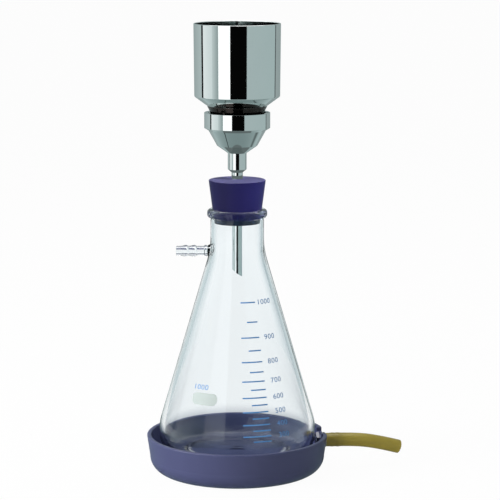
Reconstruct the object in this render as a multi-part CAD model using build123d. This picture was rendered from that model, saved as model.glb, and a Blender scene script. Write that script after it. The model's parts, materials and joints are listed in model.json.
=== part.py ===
from build123d import *
import math
import os

# A bench vacuum filtration unit: a steel funnel with a twist lock, on a support
# base, on a rubber stopper, in the neck of a glass filtering flask that stands
# in a shallow tray with a hose. Millimetres, +Z up, origin at the middle of the
# tray's underside, funnel axis on Z, side arm towards -X, hose towards +X.

# ---- Tray ----
TRAY_GAP = 6.9                  # between the flask and the wall, at the rim
TRAY_HEIGHT = 31.5
TRAY_WALL = 3.6
TRAY_FLOOR = 4.0
TRAY_LEAN = 2.6                 # how far the wall leans out on its way up
TRAY_CORNER_RADIUS = 13.7
TRAY_CORNER_LAND = 0.3          # upright wall left above the rounded corner
TRAY_RIM_ROUND = 0.9
PLATFORM_MARGIN = 4.5           # platform beyond the flat of the flask's foot
PLATFORM_RISE = 8.0             # height of the flask's platform above the tray floor
PLATFORM_FILLET = 2.0
OUTLET_TURN = 7.5               # degrees the hose outlet is turned back from +X
OUTLET_BELOW_RIM = 8.4
FLAT_DEPTH = 1.0                # how deep the flat is faced into the wall at the outlet
PAD_THICKNESS = 4.0             # wall between the outer flat and the inner pad
PAD_WIDTH = 26.0
NOTCH_WIDTH = 20.0
NOTCH_DEPTH = 3.3

# ---- Hose outlet ----
THREAD_RADIUS = 4.0
THREAD_CLEARANCE = 0.05
THREAD_BREAK = 0.4
NUT_ACROSS_FLATS = 12.0
NUT_THICKNESS = 2.8
NUT_CORNER_DROP = 0.5           # how far the chamfer runs down each corner
SPOT_FACE_MARGIN = 0.8          # cut beyond the nut's corners, so that it seats flat
WASHER_MARGIN = 0.4             # washer beyond the flange
WASHER_THICKNESS = 0.8
FLANGE_MARGIN = 0.35            # flange beyond the hose
FLANGE_THICKNESS = 0.8
NOZZLE_BORE = 2.1
NOZZLE_WALL = 0.8
NOZZLE_STEM_LENGTH = 11.5
NOZZLE_TIP_BREAK = 0.4
NOZZLE_BARB_RISE = 0.2
NOZZLE_BARB_LENGTH = 4.0
NOZZLE_BARB_LAND = 1.3          # straight part of each barb, next to its step
NOZZLE_BARB_COUNT = 2

# ---- Hose ----
HOSE_WALL = 2.6
HOSE_CLEARANCE = 0.05           # over the nozzle's barbs
HOSE_BEND_SHARE = 0.45          # of the shorter straight run that a bend may use up at each end

# ---- Flask ----
FLASK_RADIUS = 65.5
FLASK_HEEL_ROUND = 20.0
FLASK_KNEE_HEIGHT = 29.4        # above its foot, where the cone would start if sharp
FLASK_KNEE_ROUND = 37.0
FLASK_SHOULDER_HEIGHT = 177.2   # above its foot, where the cone would meet the neck if sharp
FLASK_SHOULDER_ROUND = 69.0
FLASK_WALL = 4.2
FLASK_FLOOR = 4.9
FLASK_FOOT_BAND = 3.5           # flat ring that the flask stands on, inside its heel
FLASK_PUNT = 1.8                # how far the middle of the floor is pushed up
NECK_RADIUS = 22.2
NECK_WALL = 2.3
NECK_LENGTH = 33.1              # above the shoulder's sharp corner, to the lip
LIP_OVERHANG = 2.7
LIP_THICKNESS = 5.8
LIP_ROUND = 2.6
LIP_BLEND = 1.5                 # height of the slope that carries the lip on the neck
MOUTH_FLARE_LENGTH = 10.0

# ---- Side arm, fused to the flask's neck ----
ARM_BELOW_SHOULDER = 2.0
ARM_LENGTH = 28.6               # from the neck's outside to the tip
ARM_RADIUS = 4.0
ARM_BORE = 2.4
ARM_BARB_RISE = 0.9
ARM_BARB_COUNT = 2
ARM_BARB_PITCH = 6.8
ARM_FIRST_BARB = 8.4            # from the tip to the nearest barb's crest
ARM_BARB_BACK = 2.0
ARM_BARB_LAND = 0.2
ARM_BARB_ROUND = 1.2
ARM_TIP_ROUND = 0.8
ARM_BEAD_RISE = 0.8
ARM_BEAD_WIDTH = 2.8
ARM_BEAD_OFFSET = 4.0           # from the neck's outside to the weld bead
ARM_FLARE_RADIUS = 6.6          # where the arm is drawn out of the neck
ARM_FLARE_REACH = 1.8

# ---- Scale on the glass ----
ENAMEL = 0.15
MARK_HEIGHT = 1.0
MARK_END_ANGLE = 25.5           # degrees right of the front
MARK_LONG_SWEEP = 21.0
MARK_SHORT_SWEEP = 13.5
MARK_FIRST_ML = 250
MARK_LAST_ML = 1000
MARK_STEP_ML = 50
MARK_LONG_EVERY_ML = 100
CUBIC_MM_PER_ML = 1000
HEEL_CENTROID_SHARE = 0.223     # of the radius, from a rounded corner's point to its missing area's centre
SPOT_ANGLE = -28.7              # centre of the writing spot, degrees right of the front
SPOT_HEIGHT = 60.3              # above the flask's foot
SPOT_WIDTH = 23.0
SPOT_TALL = 9.6
SPOT_CORNER = 4.4

# ---- Stopper ----
STOPPER_FREE = 0.9              # between the stopper's lower end and the neck
STOPPER_TAPER = 4.7             # top radius beyond the bottom radius
STOPPER_LENGTH = 35.9
STOPPER_STANDS_PROUD = 24.5     # above the flask's lip
STOPPER_ROUND = 0.8
RUBBER_CLEARANCE = 0.05

# ---- Stem ----
STEM_RADIUS = 4.15
STEM_WALL = 0.95
STEM_BELOW_STOPPER = 45.3       # to the bevel's point
STEM_BEVEL_RISE = 5.7
STEM_IN_SOCKET = 15.0
BRAZE_CLEARANCE = 0.03

# ---- Support base ----
SPIGOT_WALL = 0.55
SPIGOT_LENGTH = 6.2
BOSS_RADIUS = 7.8
BOSS_CHAMFER = 2.6
BOSS_LENGTH = 13.5
LOWER_CONE_RISE = 6.2
UPPER_CONE_RADIUS = 16.7        # where the lower and upper cones meet
UPPER_CONE_RISE = 12.6
COLLAR_UNDERCUT = 3.5           # how far the collar overhangs the cone
COLLAR_UNDERCUT_RISE = 2.1
COLLAR_WALL = 3.45
COLLAR_HEIGHT = 12.7
COLLAR_BREAK = 0.3
DISC_RADIUS = 23.5              # 47 mm screen and filter discs
DISC_CLEARANCE = 0.25
LEDGE_WIDTH = 3.7
DRAIN_WALL = 3.2                # between the inside and outside cones
DRAIN_DEPTH = 14.0
DRAIN_LIP = 1.2
DRAIN_FOOT = 6.0

# ---- Screen and its ring ----
RING_THICKNESS = 0.8
SCREEN_THICKNESS = 1.5
SCREEN_HOLE_RADIUS = 1.3
SCREEN_EDGE = 3.25              # from the ledge's inner edge to the last ring of holes
SCREEN_RINGS = 4

# ---- Funnel ----
FOOT_GAP = 0.6                  # screen to the funnel's foot, taken up by the seal
FOOT_FLANGE_CLEARANCE = 0.35
FOOT_FLANGE_HEIGHT = 2.4
FOOT_FLANGE_STEP = 1.3
FOOT_WALL = 2.9
SKIRT_FLARE = 2.5
SKIRT_HEIGHT = 5.4
SKIRT_LAND = 0.6                # straight edge at the skirt's top
CUP_FLOOR_RADIUS = 35.3
CUP_TAPER = 0.55                # rim radius beyond the floor's
CUP_STRAIGHT = 59.7
CUP_CONE_RISE = 7.9
CUP_WALL = 1.2
CUP_CORNER_ROUND = 1.5
CUP_RIM_ROUND = 0.45
CUP_ABOVE_COLLAR = 5.4          # collar's top to the lower edge of the cup's cone

# ---- Seal in the foot ----
SEAL_SECTION = 0.95
SEAL_GROOVE_HALF_WIDTH = 1.15
SEAL_GROOVE_WALL = 1.05         # between the seal's groove and the throat
SEAL_STANDS_PROUD = 0.3

# ---- Twist lock ----
PIN_COUNT = 3
PIN_RADIUS = 1.6
PIN_STANDS_OUT = 3.4            # from the foot
PIN_SEAT_DEPTH = 1.5            # into the foot
PIN_BREAK = 0.35
PIN_FIRST_ANGLE = -34.0         # degrees right of the front
LOCK_CLEARANCE = 0.3
LOCK_LIP = 0.8                  # metal left over the groove
LOCK_TURN = 40.0

QUARTER_TURN = 90.0             # from the front, -Y, to +X
CUT_SPARE = 1.0                 # how far a cut runs on past the metal that it opens

# ---- Radii that fit one another ----
COLLAR_BORE = DISC_RADIUS + DISC_CLEARANCE
COLLAR_RADIUS = COLLAR_BORE + COLLAR_WALL
LEDGE_RADIUS = COLLAR_BORE - LEDGE_WIDTH
UPPER_CONE_TOP_RADIUS = COLLAR_RADIUS - COLLAR_UNDERCUT
DRAIN_RADIUS = UPPER_CONE_RADIUS - DRAIN_WALL
SCREEN_PITCH = (LEDGE_RADIUS - SCREEN_EDGE) / SCREEN_RINGS
FOOT_FLANGE_RADIUS = COLLAR_BORE - FOOT_FLANGE_CLEARANCE
FOOT_RADIUS = FOOT_FLANGE_RADIUS - FOOT_FLANGE_STEP
THROAT_RADIUS = FOOT_RADIUS - FOOT_WALL
SKIRT_RADIUS = FOOT_RADIUS + SKIRT_FLARE
CUP_RIM_RADIUS = CUP_FLOOR_RADIUS + CUP_TAPER
SEAL_RADIUS = THROAT_RADIUS + SEAL_GROOVE_WALL + SEAL_GROOVE_HALF_WIDTH
PIN_END_RADIUS = FOOT_RADIUS + PIN_STANDS_OUT
PIN_SEAT_RADIUS = FOOT_RADIUS - PIN_SEAT_DEPTH
STEM_BORE = STEM_RADIUS - STEM_WALL
SPIGOT_RADIUS = STEM_RADIUS + SPIGOT_WALL
NECK_BORE = NECK_RADIUS - NECK_WALL
LIP_RADIUS = NECK_RADIUS + LIP_OVERHANG
STOPPER_BOTTOM_RADIUS = NECK_BORE - STOPPER_FREE
STOPPER_TOP_RADIUS = STOPPER_BOTTOM_RADIUS + STOPPER_TAPER
FLASK_BORE = FLASK_RADIUS - FLASK_WALL
FLASK_FOOT_RADIUS = FLASK_RADIUS - FLASK_HEEL_ROUND - FLASK_FOOT_BAND
PLATFORM_RADIUS = FLASK_RADIUS - FLASK_HEEL_ROUND + PLATFORM_MARGIN
TRAY_RIM_RADIUS = FLASK_RADIUS + TRAY_GAP + TRAY_WALL
TRAY_FOOT_RADIUS = TRAY_RIM_RADIUS - TRAY_LEAN
TRAY_INSIDE_CORNER = TRAY_CORNER_RADIUS - TRAY_CORNER_LAND - TRAY_FLOOR
ARM_REACH = NECK_RADIUS + ARM_LENGTH
ARM_BEAD_REACH = NECK_RADIUS + ARM_BEAD_OFFSET
ARM_BARB_RUN_UP = ARM_BARB_PITCH - ARM_BARB_BACK - ARM_BARB_LAND
NOZZLE_STEM_RADIUS = NOZZLE_BORE + NOZZLE_WALL
HOSE_BORE = NOZZLE_STEM_RADIUS + NOZZLE_BARB_RISE + HOSE_CLEARANCE
HOSE_RADIUS = HOSE_BORE + HOSE_WALL
FLANGE_RADIUS = HOSE_RADIUS + FLANGE_MARGIN
WASHER_RADIUS = FLANGE_RADIUS + WASHER_MARGIN

# ---- Levels, from the table upwards ----
TRAY_BEND_LEVEL = TRAY_CORNER_RADIUS + TRAY_CORNER_LAND
OUTLET_LEVEL = TRAY_HEIGHT - OUTLET_BELOW_RIM
FLASK_FOOT = TRAY_FLOOR + PLATFORM_RISE
FLASK_INSIDE_FLOOR = FLASK_FOOT + FLASK_FLOOR
KNEE_LEVEL = FLASK_FOOT + FLASK_KNEE_HEIGHT
SHOULDER_LEVEL = FLASK_FOOT + FLASK_SHOULDER_HEIGHT
ARM_LEVEL = SHOULDER_LEVEL - ARM_BELOW_SHOULDER
FLASK_LIP = SHOULDER_LEVEL + NECK_LENGTH
STOPPER_TOP = FLASK_LIP + STOPPER_STANDS_PROUD
STOPPER_BOTTOM = STOPPER_TOP - STOPPER_LENGTH
STEM_TIP = STOPPER_BOTTOM - STEM_BELOW_STOPPER
BOSS_FOOT = STOPPER_TOP + SPIGOT_LENGTH
STEM_TOP = STOPPER_TOP + STEM_IN_SOCKET
BOSS_TOP = BOSS_FOOT + BOSS_CHAMFER + BOSS_LENGTH
UPPER_CONE_FOOT = BOSS_TOP + LOWER_CONE_RISE
UPPER_CONE_TOP = UPPER_CONE_FOOT + UPPER_CONE_RISE
COLLAR_FOOT = UPPER_CONE_TOP + COLLAR_UNDERCUT_RISE
COLLAR_TOP = COLLAR_FOOT + COLLAR_HEIGHT
GROOVE_HALF_HEIGHT = PIN_RADIUS + LOCK_CLEARANCE
PIN_LEVEL = COLLAR_TOP - LOCK_LIP - GROOVE_HALF_HEIGHT
FOOT_FLANGE_TOP = PIN_LEVEL - GROOVE_HALF_HEIGHT - LOCK_CLEARANCE
FOOT_BOTTOM = FOOT_FLANGE_TOP - FOOT_FLANGE_HEIGHT
SCREEN_TOP = FOOT_BOTTOM - FOOT_GAP
SCREEN_BOTTOM = SCREEN_TOP - SCREEN_THICKNESS
LEDGE = SCREEN_BOTTOM - RING_THICKNESS
CONE_EDGE = COLLAR_TOP + CUP_ABOVE_COLLAR
CUP_STRAIGHT_FOOT = CONE_EDGE + CUP_CONE_RISE
CUP_RIM = CUP_STRAIGHT_FOOT + CUP_STRAIGHT

# ---- Slopes, and distances along the outlet ----
CONE_SLOPE = (FLASK_RADIUS - NECK_RADIUS) / (FLASK_SHOULDER_HEIGHT - FLASK_KNEE_HEIGHT)
WALL_SLOPE = TRAY_LEAN / (TRAY_HEIGHT - TRAY_BEND_LEVEL)
FLAT_DISTANCE = TRAY_RIM_RADIUS - OUTLET_BELOW_RIM * WALL_SLOPE - FLAT_DEPTH
NUT_SEAT = FLAT_DISTANCE - PAD_THICKNESS
OUTLET_FACE = FLAT_DISTANCE + WASHER_THICKNESS
HOSE_START = OUTLET_FACE + FLANGE_THICKNESS

# Where the hose runs: across, towards the back, and up, from the middle of the
# outlet flange. It leaves square to the flange and then sags.
HOSE_ROUTE = (
    (74.721, 9.838, 23.1),
    (96.331, 12.683, 23.1),
    (117.77, 16.48, 20.3),
    (137.67, 23.88, 13.7),
)


def turned(outline, rounds=()):
    """A solid of revolution about Z from (radius, height) corners, with some of them rounded."""
    section = make_face(Polyline(*outline, close=True))
    for corner, radius in rounds:
        section = fillet(section.vertices().sort_by_distance((*corner, 0))[0], radius)
    return revolve(Plane.XZ * section, Axis.Z)


def tube(outer, inner, low, high):
    """A plain ring or tube about Z between two levels."""
    return turned([(inner, low), (outer, low), (outer, high), (inner, high)])


def facing(angle):
    """A turn about Z that takes the front, -Y, to an angle right of the front."""
    return Rot(0, 0, angle)


def outlet_frame():
    """The plane on the funnel's axis whose normal runs out through the hose outlet."""
    turn = math.radians(OUTLET_TURN)
    return Plane(origin=(0, 0, OUTLET_LEVEL), x_dir=(0, 0, 1), z_dir=(math.cos(turn), math.sin(turn), 0))


def arm_frame():
    """The plane on the flask's axis whose normal runs out along the side arm."""
    return Plane(origin=(0, 0, ARM_LEVEL), x_dir=(0, 0, 1), z_dir=(-1, 0, 0))


# ---- Tray ----


def make_tray():
    """A moulded dish with a raised platform, a faced flat and a cut-out rim at the outlet."""
    outer = [
        (0, 0),
        (TRAY_FOOT_RADIUS, 0),
        (TRAY_FOOT_RADIUS, TRAY_BEND_LEVEL),
        (TRAY_RIM_RADIUS, TRAY_HEIGHT),
        (0, TRAY_HEIGHT),
    ]
    body = turned(outer, [((TRAY_FOOT_RADIUS, 0), TRAY_CORNER_RADIUS)])
    inner = [
        (PLATFORM_RADIUS, FLASK_FOOT),
        (PLATFORM_RADIUS, TRAY_FLOOR),
        (TRAY_FOOT_RADIUS - TRAY_WALL, TRAY_FLOOR),
        (TRAY_FOOT_RADIUS - TRAY_WALL, TRAY_BEND_LEVEL),
        (TRAY_RIM_RADIUS - TRAY_WALL, TRAY_HEIGHT),
        (0, TRAY_HEIGHT),
        (0, FLASK_FOOT),
    ]
    hollow = turned(
        inner,
        [
            ((TRAY_FOOT_RADIUS - TRAY_WALL, TRAY_FLOOR), TRAY_INSIDE_CORNER),
            ((PLATFORM_RADIUS, TRAY_FLOOR), PLATFORM_FILLET),
        ],
    )
    pad_reach = TRAY_RIM_RADIUS - NUT_SEAT
    pad_box = outlet_frame() * Pos(TRAY_HEIGHT / 2 - OUTLET_LEVEL, 0, NUT_SEAT + pad_reach / 2) * Box(
        TRAY_HEIGHT, PAD_WIDTH, pad_reach
    )
    tray = body - hollow + (body & pad_box)
    rim_edges = tray.edges().filter_by(GeomType.CIRCLE).group_by(Axis.Z)[-1]
    tray = fillet(rim_edges, TRAY_RIM_ROUND)
    flat_cut = outlet_frame() * Pos(0, 0, FLAT_DISTANCE + TRAY_RIM_RADIUS / 2) * Box(
        2 * TRAY_HEIGHT, 2 * TRAY_RIM_RADIUS, TRAY_RIM_RADIUS
    )
    notch = outlet_frame() * Pos(OUTLET_BELOW_RIM, 0, FLAT_DISTANCE) * Box(
        2 * NOTCH_DEPTH, NOTCH_WIDTH, 4 * PAD_THICKNESS
    )
    hole = outlet_frame() * Pos(0, 0, FLAT_DISTANCE) * Cylinder(
        THREAD_RADIUS + THREAD_CLEARANCE, 4 * PAD_THICKNESS
    )
    spot_face = outlet_frame() * Pos(0, 0, NUT_SEAT - NUT_THICKNESS) * Cylinder(
        nut_corner_radius() + SPOT_FACE_MARGIN, 2 * NUT_THICKNESS
    )
    return tray - flat_cut - notch - hole - spot_face


# ---- Hose outlet ----


def make_outlet_nozzle():
    """A turned nozzle: a threaded stub with a flange, and a barbed stem outside."""
    inside_end = NUT_SEAT - NUT_THICKNESS
    crest = NOZZLE_STEM_RADIUS + NOZZLE_BARB_RISE
    outline = [
        (NOZZLE_BORE, inside_end),
        (THREAD_RADIUS - THREAD_BREAK, inside_end),
        (THREAD_RADIUS, inside_end + THREAD_BREAK),
        (THREAD_RADIUS, OUTLET_FACE),
        (FLANGE_RADIUS, OUTLET_FACE),
        (FLANGE_RADIUS, HOSE_START),
        (NOZZLE_STEM_RADIUS, HOSE_START),
    ]
    tip = HOSE_START + NOZZLE_STEM_LENGTH
    first_barb = tip - NOZZLE_BARB_COUNT * NOZZLE_BARB_LENGTH
    for barb in range(NOZZLE_BARB_COUNT):
        foot = first_barb + barb * NOZZLE_BARB_LENGTH
        outline += [(NOZZLE_STEM_RADIUS, foot), (crest, foot), (crest, foot + NOZZLE_BARB_LAND)]
    outline += [(NOZZLE_STEM_RADIUS - NOZZLE_TIP_BREAK, tip), (NOZZLE_BORE, tip)]
    return outlet_frame() * turned(outline)


def nut_corner_radius():
    """From the nut's axis to its corners."""
    return NUT_ACROSS_FLATS / math.sqrt(3)


def make_outlet_nut():
    """The hexagon nut that holds the nozzle, against the pad inside the tray."""
    corner_radius = nut_corner_radius()
    blank = extrude(RegularPolygon(corner_radius, 6), NUT_THICKNESS)
    chamfered = blank & turned(
        [
            (0, 0),
            (NUT_ACROSS_FLATS / 2, 0),
            (corner_radius, NUT_CORNER_DROP),
            (corner_radius, NUT_THICKNESS),
            (0, NUT_THICKNESS),
        ]
    )
    bored = chamfered - Cylinder(THREAD_RADIUS + THREAD_CLEARANCE, 4 * NUT_THICKNESS)
    return outlet_frame() * Pos(0, 0, NUT_SEAT - NUT_THICKNESS) * bored


def make_outlet_washer():
    """The soft washer between the faced flat and the nozzle's flange."""
    ring = tube(WASHER_RADIUS, THREAD_RADIUS + THREAD_CLEARANCE, FLAT_DISTANCE, OUTLET_FACE)
    return outlet_frame() * ring


def make_hose():
    """A short hose pushed over the nozzle up to its flange, cut square at its free end."""
    points = [Vector(*point) for point in HOSE_ROUTE]
    runs = [end - start for start, end in zip(points[:-1], points[1:])]
    radii = []
    for before, after in zip(runs[:-1], runs[1:]):
        half_turn = math.radians(before.get_angle(after) / 2)
        radii.append(HOSE_BEND_SHARE * min(before.length, after.length) / math.tan(half_turn))
    print("hose runs", [round(run.length, 1) for run in runs], "bend radii", [round(r) for r in radii])
    path = FilletPolyline(*points, radius=radii)
    start = Plane(origin=path @ 0, z_dir=path % 0)
    section = start * (Circle(HOSE_RADIUS) - Circle(HOSE_BORE))
    hose = sweep(section, path=path)
    area = math.pi * (HOSE_RADIUS**2 - HOSE_BORE**2)
    print("hose length", round(path.length, 1), "volume ratio", round(hose.volume / (area * path.length), 4))
    return hose


# ---- Flask ----


def flask_outline(skin=0.0):
    """The outside of the flask's body and neck, up to the lip, grown by a skin."""
    radius = FLASK_RADIUS + skin
    neck = NECK_RADIUS + skin
    corners = [
        (0, FLASK_FOOT - skin),
        (radius, FLASK_FOOT - skin),
        (radius, KNEE_LEVEL),
        (neck, SHOULDER_LEVEL),
        (neck, FLASK_LIP - LIP_THICKNESS / 2),
        (0, FLASK_LIP - LIP_THICKNESS / 2),
    ]
    rounds = [
        (corners[1], FLASK_HEEL_ROUND + skin),
        (corners[2], FLASK_KNEE_ROUND + skin),
        (corners[3], FLASK_SHOULDER_ROUND - skin),
    ]
    return turned(corners, rounds)


def flask_inside():
    """The space inside the flask: floor, cone, neck and a mouth flared for the stopper."""
    slope_foot = (FLASK_BORE, KNEE_LEVEL)
    slope_top = (NECK_BORE, KNEE_LEVEL + (FLASK_BORE - NECK_BORE) / CONE_SLOPE)
    floor_corner = (FLASK_BORE, FLASK_INSIDE_FLOOR)
    corners = [
        (0, FLASK_INSIDE_FLOOR + FLASK_PUNT),
        (FLASK_FOOT_RADIUS, FLASK_INSIDE_FLOOR),
        floor_corner,
        slope_foot,
        slope_top,
        (NECK_BORE, FLASK_LIP - MOUTH_FLARE_LENGTH),
        (mouth_radius(), FLASK_LIP),
        (0, FLASK_LIP),
    ]
    rounds = [
        (floor_corner, FLASK_HEEL_ROUND - FLASK_WALL),
        (slope_foot, FLASK_KNEE_ROUND - FLASK_WALL),
        (slope_top, FLASK_SHOULDER_ROUND + FLASK_WALL),
    ]
    return turned(corners, rounds)


def stopper_radius(level):
    """The stopper's radius at a level."""
    share = (level - STOPPER_BOTTOM) / STOPPER_LENGTH
    return STOPPER_BOTTOM_RADIUS + share * (STOPPER_TOP_RADIUS - STOPPER_BOTTOM_RADIUS)


def mouth_radius():
    """The flask's mouth, just wider than the stopper where the two meet."""
    return stopper_radius(FLASK_LIP) + RUBBER_CLEARANCE


def side_arm():
    """The fused side arm: a flare at the neck, a weld bead and a stem with two soft barbs."""
    bead_half = ARM_BEAD_WIDTH / 2
    outline = [
        (0, 0),
        (ARM_FLARE_RADIUS, 0),
        (ARM_FLARE_RADIUS, NECK_RADIUS - ARM_FLARE_REACH),
        (ARM_FLARE_RADIUS - ARM_FLARE_REACH, NECK_RADIUS + ARM_FLARE_REACH),
        (ARM_RADIUS, ARM_BEAD_REACH - bead_half),
        (ARM_RADIUS + ARM_BEAD_RISE, ARM_BEAD_REACH - bead_half / 2),
        (ARM_RADIUS + ARM_BEAD_RISE, ARM_BEAD_REACH + bead_half / 2),
        (ARM_RADIUS, ARM_BEAD_REACH + bead_half),
    ]
    first_crest = ARM_REACH - ARM_FIRST_BARB - (ARM_BARB_COUNT - 1) * ARM_BARB_PITCH
    crests = [first_crest + barb * ARM_BARB_PITCH for barb in range(ARM_BARB_COUNT)]
    for crest in crests:
        outline += [
            (ARM_RADIUS, crest - ARM_BARB_BACK),
            (ARM_RADIUS + ARM_BARB_RISE, crest),
            (ARM_RADIUS, crest + ARM_BARB_RUN_UP),
        ]
    outline += [(ARM_RADIUS, ARM_REACH), (0, ARM_REACH)]
    rounds = [((ARM_RADIUS + ARM_BARB_RISE, crest), ARM_BARB_ROUND) for crest in crests]
    rounds.append(((ARM_RADIUS, ARM_REACH), ARM_TIP_ROUND))
    return arm_frame() * turned(outline, rounds)


def make_flask():
    """One blown glass piece: body, rolled lip and fused side arm, hollow to the arm's tip."""
    lip_foot = FLASK_LIP - LIP_THICKNESS
    lip = turned(
        [
            (NECK_BORE, lip_foot - LIP_BLEND),
            (NECK_RADIUS, lip_foot - LIP_BLEND),
            (LIP_RADIUS, lip_foot),
            (LIP_RADIUS, FLASK_LIP),
            (NECK_BORE, FLASK_LIP),
        ],
        [((LIP_RADIUS, lip_foot), LIP_ROUND), ((LIP_RADIUS, FLASK_LIP), LIP_ROUND)],
    )
    punt = turned([(0, FLASK_FOOT), (FLASK_FOOT_RADIUS, FLASK_FOOT), (0, FLASK_FOOT + FLASK_PUNT)])
    bore = arm_frame() * Pos(0, 0, ARM_REACH / 2) * Cylinder(ARM_BORE, ARM_REACH)
    return flask_outline() + lip + side_arm() - punt - flask_inside() - bore


def volume_below_knee():
    """What the flask holds up to its knee, less what the rounded heel takes away."""
    heel = FLASK_HEEL_ROUND - FLASK_WALL
    heel_centroid = FLASK_BORE - HEEL_CENTROID_SHARE * heel
    heel_loss = (1 - math.pi / 4) * heel**2 * 2 * math.pi * heel_centroid
    return math.pi * FLASK_BORE**2 * (KNEE_LEVEL - FLASK_INSIDE_FLOOR) - heel_loss


def volume_below_neck():
    """What the flask holds up to where its cone meets the neck."""
    return volume_below_knee() + math.pi * (FLASK_BORE**3 - NECK_BORE**3) / (3 * CONE_SLOPE)


def volume_level(volume):
    """The level that a volume reaches in the flask, in the cylinder below the knee or the cone above."""
    above_knee = volume - volume_below_knee()
    if above_knee < 0:
        return KNEE_LEVEL + above_knee / (math.pi * FLASK_BORE**2)
    bore_cubed = FLASK_BORE**3 - 3 * above_knee * CONE_SLOPE / math.pi
    return KNEE_LEVEL + (FLASK_BORE - bore_cubed ** (1 / 3)) / CONE_SLOPE


def glass_skin():
    """A thin layer over the outside of the flask, from which the enamel is cut."""
    return flask_outline(ENAMEL) - flask_outline()


def make_scale_marks():
    """The graduations that the cone can hold: a long mark at each hundred and a short one between."""
    skin = glass_skin()
    marks = []
    for millilitres in range(MARK_FIRST_ML, MARK_LAST_ML + 1, MARK_STEP_ML):
        volume = millilitres * CUBIC_MM_PER_ML
        if volume > volume_below_neck():
            break
        sweep_angle = MARK_LONG_SWEEP if millilitres % MARK_LONG_EVERY_ML == 0 else MARK_SHORT_SWEEP
        band = Rectangle(FLASK_RADIUS, MARK_HEIGHT, align=(Align.MIN, Align.CENTER))
        wedge = revolve(Plane.XZ * Pos(NECK_RADIUS, 0) * band, Axis.Z, sweep_angle)
        turn = facing(MARK_END_ANGLE - sweep_angle - QUARTER_TURN)
        marks.append(skin & turn * Pos(0, 0, volume_level(volume)) * wedge)
    return Compound(children=[solid for mark in marks for solid in mark.solids()])


def make_marking_spot():
    """The pale enamel spot for pencil notes, left of the front."""
    level = FLASK_FOOT + SPOT_HEIGHT
    shape = RectangleRounded(SPOT_WIDTH, SPOT_TALL, SPOT_CORNER)
    ray = extrude(Plane.XZ * Pos(0, level) * shape, 2 * FLASK_RADIUS)
    return glass_skin() & facing(SPOT_ANGLE) * ray


# ---- Stopper and stem ----


def make_stopper():
    """A tall conical rubber stopper with one hole for the stem."""
    hole = STEM_RADIUS + RUBBER_CLEARANCE
    top_corner = (STOPPER_TOP_RADIUS, STOPPER_TOP)
    bottom_corner = (STOPPER_BOTTOM_RADIUS, STOPPER_BOTTOM)
    outline = [(hole, STOPPER_BOTTOM), bottom_corner, top_corner, (hole, STOPPER_TOP)]
    return turned(outline, [(top_corner, STOPPER_ROUND), (bottom_corner, STOPPER_ROUND)])


def make_stem_tube():
    """The drip tube, cut to a slanting point at its lower end."""
    stem = tube(STEM_RADIUS, STEM_BORE, STEM_TIP, STEM_TOP)
    bevel = make_face(
        Polyline(
            (-STEM_RADIUS, STEM_TIP),
            (STEM_RADIUS, STEM_TIP),
            (-STEM_RADIUS, STEM_TIP + STEM_BEVEL_RISE),
            close=True,
        )
    )
    return stem - extrude(Plane.XZ * bevel, 2 * STEM_RADIUS, both=True)


# ---- Support base ----


def make_support_base():
    """The turned base: a collar over two cones, a boss and a spigot, with the lock inside."""
    socket = STEM_RADIUS + BRAZE_CLEARANCE
    drain_top = LEDGE - DRAIN_LIP
    drain_low = drain_top - DRAIN_DEPTH
    outline = [
        (socket, STOPPER_TOP),
        (SPIGOT_RADIUS, STOPPER_TOP),
        (SPIGOT_RADIUS, BOSS_FOOT),
        (BOSS_RADIUS, BOSS_FOOT + BOSS_CHAMFER),
        (BOSS_RADIUS, BOSS_TOP),
        (UPPER_CONE_RADIUS, UPPER_CONE_FOOT),
        (UPPER_CONE_TOP_RADIUS, UPPER_CONE_TOP),
        (COLLAR_RADIUS, COLLAR_FOOT),
        (COLLAR_RADIUS, COLLAR_TOP),
        (COLLAR_BORE, COLLAR_TOP),
        (COLLAR_BORE, LEDGE),
        (LEDGE_RADIUS, LEDGE),
        (LEDGE_RADIUS, drain_top),
        (DRAIN_RADIUS, drain_low),
        (STEM_BORE, drain_low - DRAIN_FOOT),
        (STEM_BORE, STEM_TOP),
        (socket, STEM_TOP),
    ]
    breaks = [((COLLAR_RADIUS, COLLAR_TOP), COLLAR_BREAK), ((COLLAR_RADIUS, COLLAR_FOOT), COLLAR_BREAK)]
    base = turned(outline, breaks)
    for angle in pin_angles():
        base -= lock_slot(angle)
    return base


def pin_angles():
    """Where the lock pins stand, in degrees right of the front."""
    return [PIN_FIRST_ANGLE + 360 / PIN_COUNT * number for number in range(PIN_COUNT)]


def lock_slot(angle):
    """One entry notch down from the rim and the groove that it leads into, both blind outside."""
    half_width = PIN_RADIUS + LOCK_CLEARANCE
    groove_radius = PIN_END_RADIUS + LOCK_CLEARANCE
    spare = math.degrees(half_width / PIN_END_RADIUS)
    band = Rectangle(groove_radius - FOOT_RADIUS, 2 * GROOVE_HALF_HEIGHT, align=(Align.MIN, Align.CENTER))
    groove = revolve(Plane.XZ * Pos(FOOT_RADIUS, PIN_LEVEL) * band, Axis.Z, LOCK_TURN + 2 * spare)
    groove_start = angle - LOCK_TURN - spare - QUARTER_TURN
    notch_height = COLLAR_TOP - PIN_LEVEL + PIN_RADIUS
    notch_depth = groove_radius - FOOT_RADIUS
    notch = Pos(0, 0, PIN_LEVEL + notch_height / 2) * Box(2 * half_width, notch_depth, notch_height)
    notch_foot = Rot(90, 0, 0) * Cylinder(half_width, notch_depth)
    entry = notch + Pos(0, 0, PIN_LEVEL) * notch_foot
    notch_middle = FOOT_RADIUS + notch_depth / 2
    return facing(groove_start) * groove + facing(angle) * Pos(0, -notch_middle, 0) * entry


# ---- Screen ----


def make_screen_ring():
    """The thin flat ring under the screen."""
    return tube(DISC_RADIUS, LEDGE_RADIUS, LEDGE, SCREEN_BOTTOM)


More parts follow.
